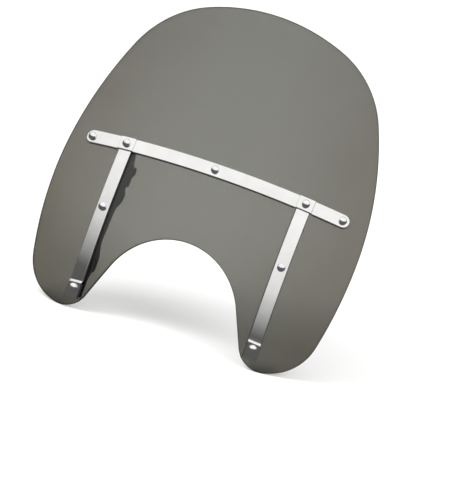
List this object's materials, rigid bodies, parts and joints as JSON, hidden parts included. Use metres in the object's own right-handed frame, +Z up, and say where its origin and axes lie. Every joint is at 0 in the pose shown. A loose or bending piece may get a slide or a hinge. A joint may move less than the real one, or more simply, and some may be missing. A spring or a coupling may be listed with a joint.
{
  "type": "motorcycle windshield screen",
  "caption": "Detachable cruiser windshield: a bowed, smoke-tinted sheet with a headlight arch, clamped to polished straps by cap nuts, with slotted rear brackets and latches.",
  "frame": {"origin": "middle of the four docking slot seats, two on each side bracket, on the screen's centre plane", "axes": "+X to the rider's left, +Y rearward towards the rider, +Z up; the screen is stored at its fitted angle, its straps leaning back 30 degrees, so its outer face looks forward and up along -Y"},
  "size_m": [0.586, 0.2586, 0.5837],
  "materials": {
    "tinted_polycarbonate": "clear gloss with a light smoke tint",
    "polished_stainless": "mirror polished",
    "latch_stainless": "satin",
    "chromed_steel": "mirror",
    "plated_steel": "zinc plated",
    "black_painted_steel": "semi-gloss powder coat",
    "black_rubber": "matt",
    "black_nylon": "matt"
  },
  "bodies": {
    "screen": {"bracket_gasket_left": "black_rubber", "bracket_gasket_right": "black_rubber", "bracket_left": "black_painted_steel", "bracket_right": "black_painted_steel", "crossbar": "polished_stainless", "crossbar_gasket_centre": "black_rubber", "crossbar_gasket_left": "black_rubber", "crossbar_gasket_right": "black_rubber", "foot_pad_left": "black_rubber", "foot_pad_right": "black_rubber", "grommet_centre": "black_rubber", "grommet_cross_left": "black_rubber", "grommet_cross_right": "black_rubber", "grommet_end_left": "black_rubber", "grommet_end_right": "black_rubber", "grommet_foot_left": "black_rubber", "grommet_foot_right": "black_rubber", "grommet_mid_left": "black_rubber", "grommet_mid_right": "black_rubber", "latch_pivot_left": "chromed_steel", "latch_pivot_right": "chromed_steel", "latch_stop_left": "plated_steel", "latch_stop_right": "plated_steel", "latch_washer_inner_left": "black_nylon", "latch_washer_inner_right": "black_nylon", "latch_washer_outer_left": "black_nylon", "latch_washer_outer_right": "black_nylon", "nut_centre": "chromed_steel", "nut_cross_left": "chromed_steel", "nut_cross_right": "chromed_steel", "nut_end_left": "chromed_steel", "nut_end_right": "chromed_steel", "nut_foot_left": "chromed_steel", "nut_foot_right": "chromed_steel", "nut_mid_left": "chromed_steel", "nut_mid_right": "chromed_steel", "screw_centre": "plated_steel", "screw_cross_left": "plated_steel", "screw_cross_right": "plated_steel", "screw_end_left": "plated_steel", "screw_end_right": "plated_steel", "screw_foot_left": "plated_steel", "screw_foot_right": "plated_steel", "screw_mid_left": "plated_steel", "screw_mid_right": "plated_steel", "shield": "tinted_polycarbonate", "strap_gasket_left": "black_rubber", "strap_gasket_right": "black_rubber", "strap_left": "polished_stainless", "strap_right": "polished_stainless", "washer_centre": "plated_steel", "washer_end_left": "plated_steel", "washer_end_right": "plated_steel"},
    "latch_left_arm": {"latch_left": "latch_stainless", "latch_grip_left": "black_rubber"},
    "latch_right_arm": {"latch_right": "latch_stainless", "latch_grip_right": "black_rubber"}
  },
  "joints": [
    {"name": "latch_left_hinge", "type": "hinge", "parent": "screen", "child": "latch_left_arm", "pos_m": [0.1648, 0.03906, 0.10966], "axis": [1, 0, 0], "range_deg": [0, 60]},
    {"name": "latch_right_hinge", "type": "hinge", "parent": "screen", "child": "latch_right_arm", "pos_m": [-0.1648, 0.03906, 0.10966], "axis": [1, 0, 0], "range_deg": [0, 60]}
  ]
}
